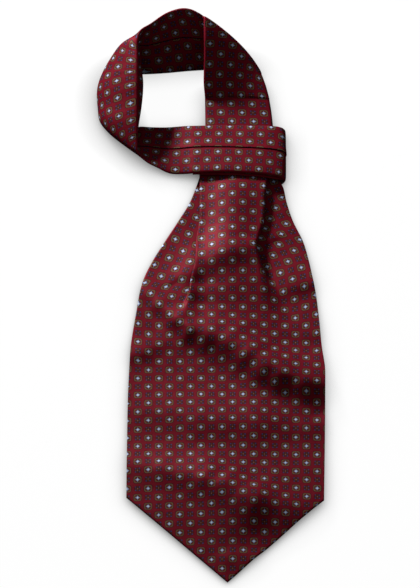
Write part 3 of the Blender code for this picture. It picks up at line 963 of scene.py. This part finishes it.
class CRAVAT_OT_neck_band(bpy.types.Operator):
    """Adds the folded neck band: up the right side, round the loop and over the knot"""

    bl_idname = "cravat.neck_band"
    bl_label = "Neck band"

    # How square the rounding of the band's edges is, the least that it is thick there on each side of its
    # middle sheet, and how near its lowest points come to the table
    EDGE_POWER = 14
    CORE = 0.05
    FLOOR = 0.1

    def execute(self, context):
        settings = context.scene.cravat
        points, normals, across, along, ruling = band_grid()
        shells = self.shells(settings.sizes, points, normals, across, ruling)
        cloth, seam_at = self.cloth_places(across, along)
        faces, seam_shade_faces = self.shell_faces(*shells[0].shape[:2], seam_at)
        vertices = np.concatenate([shell.reshape(-1, 3) for shell in shells])
        vertices[:, 2] = np.maximum(vertices[:, 2], self.FLOOR)

        edge, edge_faces, edge_cloth = self.under_fold(points[:, 0], along[:, 0], ruling, len(vertices))
        piece = mesh_piece(
            "neck_band",
            np.concatenate([vertices, edge]),
            faces + edge_faces,
            np.concatenate([cloth, cloth, edge_cloth]),
            ["band_right", "band_top", "band_left", "front_wrap"],
            silk(settings),
            # The seam's riser faces take the painted seam shade.
            trim=seam_shade_material(settings),
            painted_shade_faces=seam_shade_faces,
        )
        return {"FINISHED"}

    def shells(self, sizes, points, normals, across, ruling):
        """The outside and the inside of the folded strip, each as rows of points that run all round it."""
        half = sizes.band_thickness / MM / 2
        round_edge = (1 - np.abs(2 * across - 1) ** self.EDGE_POWER) ** 0.5
        groove, lip = seam_profile(across)
        raised = groove + lip * sizes.seam_lip / MM
        shells = []
        for inset in (0.0, sizes.band_cloth / MM):
            depth = np.maximum(half * round_edge - inset, self.CORE)
            drawn_in = (points - points.mean(axis=1, keepdims=True)) * (-inset / (BAND_WIDTH / 2))
            outer = points + drawn_in + normals * depth[None, :, None]
            inner = points + drawn_in - normals * (depth + raised)[None, :, None]
            inner = swollen(inner, points, across, ruling)
            shells.append(np.concatenate([outer, inner[:, ::-1][:, 1:-1]], axis=1))
        return shells

    def cloth_places(self, across, along):
        """The place of a shell's points on the flat cloth, and where in a row the seam's face is."""
        quarter = BAND_WIDTH / 2
        back = across[::-1][1:-1]
        back_cloth = np.where(back > 0.5, quarter + BAND_WIDTH * (2 - back), quarter - BAND_WIDTH * back)
        cloth_across = BAND_CLOTH_FROM + np.concatenate([quarter + across * BAND_WIDTH, back_cloth])
        cloth_along = np.concatenate([along, along[:, ::-1][:, 1:-1]], axis=1)
        cloth = np.stack([np.broadcast_to(cloth_across, cloth_along.shape), cloth_along], axis=2)
        seam_at = len(across) + int(np.argmax(np.abs(np.diff(back_cloth))))
        return cloth.reshape(-1, 2), seam_at

    def shell_faces(self, rows, around, seam_at):
        """The faces of both shells and of the rings that close them at the ends, and the seam's faces, which
        take the painted seam shade.
        """
        shell = rows * around
        faces, seam_shade_faces = [], []
        for row in range(rows - 1):
            for place in range(around):
                a, b = row * around + place, row * around + (place + 1) % around
                if place == seam_at:
                    seam_shade_faces.append(len(faces))
                faces.append((a, b, b + around, a + around))
                faces.append((shell + a, shell + a + around, shell + b + around, shell + b))
        for row, flip in ((0, False), (rows - 1, True)):
            for place in range(around):
                a, b = row * around + place, row * around + (place + 1) % around
                face = (a, shell + a, shell + b, b)
                faces.append(face[::-1] if flip else face)
        return faces, seam_shade_faces

    def under_fold(self, edge_line, along, ruling, first):
        """The layer whose edge shows under the wrap: its points, faces and places on the cloth."""
        start, end = UNDER_FOLD
        shown = (ruling >= start) & (ruling <= end)
        line, along, ruling = edge_line[shown], along[shown], ruling[shown]
        top, bottom = -UNDER_FOLD_DOWN, -UNDER_FOLD_DOWN - UNDER_FOLD_THICK
        rounds_at = -UNDER_FOLD_OUT * UNDER_FOLD_ROUNDS_AT
        corners = (
            (UNDER_FOLD_IN, top),
            (rounds_at, top),
            (-UNDER_FOLD_OUT, -UNDER_FOLD_DOWN - UNDER_FOLD_THICK / 2),
            (rounds_at, bottom),
            (UNDER_FOLD_IN, bottom),
        )
        slips_out = ease((ruling - start) / UNDER_FOLD_SLIPS_OUT_OVER)
        slips_out = slips_out * ease((end - ruling) / UNDER_FOLD_SLIPS_OUT_OVER)
        points, cloth = [], []
        for out, down in corners:
            reach = out * np.where(out < 0, slips_out, 1.0)
            points.append(line + np.stack([0 * along, reach, down + 0 * along], axis=1))
            cloth.append(np.stack([0 * along + BAND_CLOTH_FROM - out, along], axis=1))
        count, sides = len(line), len(corners)
        faces = []
        for side in range(sides):
            a, b = first + side * count, first + (side + 1) % sides * count
            faces.extend((a + step, b + step, b + step + 1, a + step + 1) for step in range(count - 1))
        faces.append(tuple(first + side * count for side in reversed(range(sides))))
        faces.append(tuple(first + (side + 1) * count - 1 for side in range(sides)))
        return np.concatenate(points), faces, np.concatenate(cloth)


class CRAVAT_OT_stage(bpy.types.Operator):
    """Adds the table, the camera and the lights"""

    bl_idname = "cravat.stage"
    bl_label = "Stage"

    TABLE_SIZE = 12.0
    TABLE_GREY = (0.06, 0.06, 0.06, 1.0)
    TABLE_ROUGHNESS = 0.95
    CONTACT_REACH = 0.02

    # The view in millimetres, with the size of a pixel across it
    LENS, SENSOR = 1000.0, 36.0
    IMAGE_HEIGHT, PIXEL = 588, 0.783
    VIEW_MIDDLE = Vector((-12.5, 276.0, 0.0))
    CLIP_END = 100.0

    # The window's place in metres from the neck's
    NECK = Vector((0.0, 400.0, 10.0))
    WINDOW_PLACE = Vector((-0.73, 1.17, 0.59))
    WINDOW_SIZE = 0.26
    HORIZON_SOFTNESS = 0.2

    def execute(self, context):
        scene = context.scene
        stage = scene.cravat.stage
        self.lay_table(context, stage.table_glow)
        self.place_camera(scene, stage.camera_height)
        self.hang_window(scene, stage.window_power)
        self.light_all_round(scene, stage.sky_power)
        scene.view_settings.view_transform = "Standard"
        return {"FINISHED"}

    def lay_table(self, context, glow):
        """A white table that shows only the shade close round the cloth."""
        bpy.ops.object.select_all(action="DESELECT")
        bpy.ops.mesh.primitive_plane_add(size=self.TABLE_SIZE, location=(0, 0, 0))
        table = context.object
        table.name = "table"
        surface, wiring, shader = new_material("table_white")
        contact = wiring.add("ShaderNodeAmbientOcclusion")
        wiring.fill(contact, {"Distance": self.CONTACT_REACH})
        wiring.fill(shader, {
            "Base Color": self.TABLE_GREY,
            "Roughness": self.TABLE_ROUGHNESS,
            "Specular IOR Level": 0.0,
            "Emission Color": contact.outputs["Color"],
            "Emission Strength": glow,
        })
        table.data.materials.append(surface)
        table.visible_diffuse = False
        table.visible_glossy = False

    def aim(self, scene, name, data, place, direction):
        """Puts a camera or a light in its place, looking in a direction."""
        item = bpy.data.objects.new(name, data)
        scene.collection.objects.link(item)
        item.location = place
        item.rotation_euler = direction.to_track_quat("-Z", "Y").to_euler()
        return item

    def place_camera(self, scene, height):
        lens = bpy.data.cameras.new("view")
        lens.lens = self.LENS
        lens.sensor_width = self.SENSOR
        lens.clip_end = self.CLIP_END
        distance = self.IMAGE_HEIGHT * self.PIXEL * MM * self.LENS / self.SENSOR
        back = Vector((0, -math.cos(height), math.sin(height)))
        place = ORIGIN + self.VIEW_MIDDLE * MM + back * distance
        scene.camera = self.aim(scene, "view", lens, place, -back)

    def hang_window(self, scene, power):
        window = bpy.data.lights.new("window", "AREA")
        window.shape = "DISK"
        window.size = self.WINDOW_SIZE
        window.energy = power
        self.aim(scene, "window", window, ORIGIN + self.NECK * MM + self.WINDOW_PLACE, -self.WINDOW_PLACE)

    def light_all_round(self, scene, strength):
        """A soft light from above the horizon alone."""
        world = bpy.data.worlds.new("surroundings")
        scene.world = world
        world.use_nodes = True
        wiring = Wiring(world.node_tree)
        direction = wiring.add("ShaderNodeTexCoord")
        height = wiring.add("ShaderNodeSeparateXYZ")
        wiring.feed(height.inputs[0], direction.outputs["Generated"])
        below = wiring.inside(height.outputs[2], 0.0, self.HORIZON_SOFTNESS)
        colour = wiring.mix(below, WHITE, BLACK)
        wiring.fill(world.node_tree.nodes["Background"], {"Color": colour, "Strength": strength})


class CRAVAT_PT_panel(bpy.types.Panel):
    """Lists the cravat's pieces"""

    bl_label = "Silk cravat"
    bl_idname = "CRAVAT_PT_panel"
    bl_space_type = "VIEW_3D"
    bl_region_type = "UI"
    bl_category = "Cravat"

    def draw(self, context):
        settings = context.scene.cravat
        for group in (settings.sizes, settings.colours, settings.stage):
            box = self.layout.box()
            for name in group.bl_rna.properties.keys():
                if name not in ("rna_type", "name"):
                    box.prop(group, name)
        for operator in OPERATORS:
            self.layout.operator(operator.bl_idname)


OPERATORS = (CRAVAT_OT_back_blade, CRAVAT_OT_front_blade, CRAVAT_OT_neck_band, CRAVAT_OT_stage)
CLASSES = (CravatSizes, CravatColours, CravatStage, CravatSettings, *OPERATORS, CRAVAT_PT_panel)


def register():
    for item in CLASSES:
        bpy.utils.register_class(item)
    bpy.types.Scene.cravat = bpy.props.PointerProperty(type=CravatSettings)


def unregister():
    del bpy.types.Scene.cravat
    for item in reversed(CLASSES):
        bpy.utils.unregister_class(item)


def main():
    register()
    bpy.ops.cravat.back_blade()
    bpy.ops.cravat.front_blade()
    bpy.ops.cravat.neck_band()
    bpy.ops.cravat.stage()
    bpy.context.view_layer.update()


if __name__ == "__main__":
    main()
